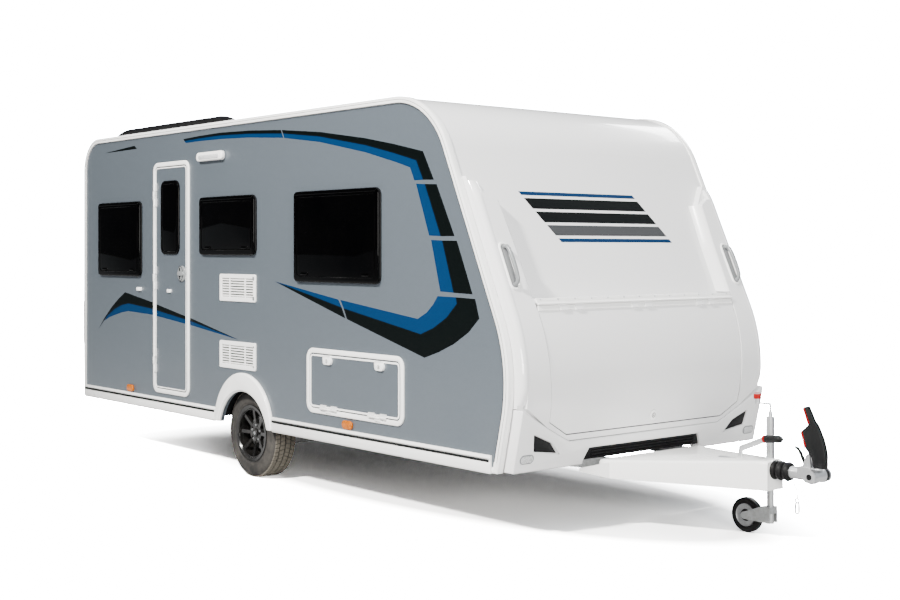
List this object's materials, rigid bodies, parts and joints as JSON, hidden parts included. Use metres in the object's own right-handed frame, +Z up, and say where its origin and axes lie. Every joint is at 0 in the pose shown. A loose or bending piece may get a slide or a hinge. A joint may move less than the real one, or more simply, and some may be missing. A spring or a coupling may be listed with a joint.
{
  "type": "travel caravan",
  "caption": "Single-axle touring caravan with sloping nose, tinted windows, side door, locker hatches, gas lid, corner steadies and a jockey wheel under its covered drawbar",
  "frame": {"origin": "on the ground under the middle of the whole length and width", "axes": "+X forward to the tow hitch, +Y to the left, +Z up"},
  "size_m": [6.751, 2.284, 2.635],
  "materials": {
    "floor": "matt sealed underside",
    "side_skin": "gloss gel coat on sandwich panel",
    "white_skin": "gloss gel coat on sandwich panel",
    "nose_skin": "gloss",
    "rail": "gloss",
    "white_plastic": "satin",
    "black_plastic": "satin",
    "tinted_glass": "dark tint",
    "roof_glass": "smoked",
    "lamp_white": "frosted",
    "lamp_amber": "lens",
    "lamp_red": "lens",
    "galvanised": "galvanised",
    "cast": "matt",
    "tyre": "matt",
    "rim": "gloss black",
    "rubber": "matt",
    "coupling_steel": "zinc plated",
    "locker_inside": "matt",
    "cable": "coated wire"
  },
  "bodies": {
    "caravan": {"floor_panel": "floor", "side_wall_right": "side_skin", "side_wall_left": "side_skin", "roof_panel": "white_skin", "front_panel": "nose_skin", "rear_panel": "white_skin", "edge_rails": "rail", "skirts": "white_plastic", "arch_trims": "white_plastic", "wheel_boxes": "black_plastic", "window_frames": "black_plastic", "window_panes": "tinted_glass", "hatch_frames": "white_plastic", "fridge_vents": "white_plastic", "awning_lamp": "lamp_white", "side_markers": "lamp_amber", "front_surround": "nose_skin", "front_bumper": "white_plastic", "bumper_grilles": "black_plastic", "grab_handles": "white_plastic", "gas_locker": "locker_inside", "rear_bumper": "white_plastic", "rear_lamps": "lamp_red", "roof_rails": "black_plastic", "roof_lights": "roof_glass", "chassis_frame": "galvanised", "axle_tube": "galvanised", "suspension_arms": "galvanised", "drawbar_cover": "white_plastic", "overrun_body": "galvanised", "bellows": "rubber", "coupling_head": "coupling_steel", "coupling_handle": "black_plastic", "handbrake_lever": "coupling_steel", "jockey_tube": "galvanised", "steady_brackets": "galvanised", "breakaway_cable": "cable", "breakaway_hook": "coupling_steel"},
    "wheel_right": {"tyre_right": "tyre", "rim_right": "rim", "drum_right": "cast"},
    "wheel_left": {"tyre_left": "tyre", "rim_left": "rim", "drum_left": "cast"},
    "jockey_swivel_body": {"jockey_stem": "galvanised"},
    "jockey_wheel_body": {"jockey_wheel": "rubber"},
    "entry_door": {"door_leaf": "side_skin", "door_window": "tinted_glass", "door_handle": "white_plastic"},
    "gas_lid_body": {"gas_lid": "nose_skin"},
    "locker_door_body": {"locker_door": "side_skin"},
    "service_door_body": {"service_door": "side_skin"},
    "steady_rear_right": {"steady_leg_rear_right": "galvanised"},
    "steady_rear_left": {"steady_leg_rear_left": "galvanised"},
    "steady_front_right": {"steady_leg_front_right": "galvanised"},
    "steady_front_left": {"steady_leg_front_left": "galvanised"}
  },
  "joints": [
    {"name": "wheel_right_spin", "type": "hinge", "parent": "caravan", "child": "wheel_right", "pos_m": [-0.7035, -0.96, 0.312], "axis": [0, 1, 0], "continuous": true},
    {"name": "wheel_left_spin", "type": "hinge", "parent": "caravan", "child": "wheel_left", "pos_m": [-0.7035, 0.96, 0.312], "axis": [0, 1, 0], "continuous": true},
    {"name": "jockey_swivel", "type": "hinge", "parent": "caravan", "child": "jockey_swivel_body", "pos_m": [2.8995, 0.15, 0.3], "axis": [0, 0, 1], "continuous": true},
    {"name": "jockey_wheel_spin", "type": "hinge", "parent": "jockey_swivel_body", "child": "jockey_wheel_body", "pos_m": [2.7395, 0.15, 0.1], "axis": [0, 1, 0], "continuous": true},
    {"name": "entry_door_hinge", "type": "hinge", "parent": "caravan", "child": "entry_door", "pos_m": [-2.024, -1.13, 1.4], "axis": [0, 0, -1], "range_deg": [0, 165]},
    {"name": "gas_lid_hinge", "type": "hinge", "parent": "caravan", "child": "gas_lid_body", "pos_m": [2.06021, 0, 1.31396], "axis": [0, -1, 0], "range_deg": [0, 75]},
    {"name": "locker_door_hinge", "type": "hinge", "parent": "caravan", "child": "locker_door_body", "pos_m": [0.6285, -1.13, 0.5815], "axis": [1, 0, 0], "range_deg": [0, 100]},
    {"name": "service_door_hinge", "type": "hinge", "parent": "caravan", "child": "service_door_body", "pos_m": [-2.6035, 1.13, 0.5815], "axis": [-1, 0, 0], "range_deg": [0, 100]},
    {"name": "steady_rear_right_hinge", "type": "hinge", "parent": "caravan", "child": "steady_rear_right", "pos_m": [-2.7635, -0.91, 0.345], "axis": [0, 1, 0], "range_deg": [0, 50]},
    {"name": "steady_rear_left_hinge", "type": "hinge", "parent": "caravan", "child": "steady_rear_left", "pos_m": [-2.7635, 0.91, 0.345], "axis": [0, 1, 0], "range_deg": [0, 50]},
    {"name": "steady_front_right_hinge", "type": "hinge", "parent": "caravan", "child": "steady_front_right", "pos_m": [1.3565, -0.91, 0.345], "axis": [0, -1, 0], "range_deg": [0, 50]},
    {"name": "steady_front_left_hinge", "type": "hinge", "parent": "caravan", "child": "steady_front_left", "pos_m": [1.3565, 0.91, 0.345], "axis": [0, -1, 0], "range_deg": [0, 50]}
  ]
}
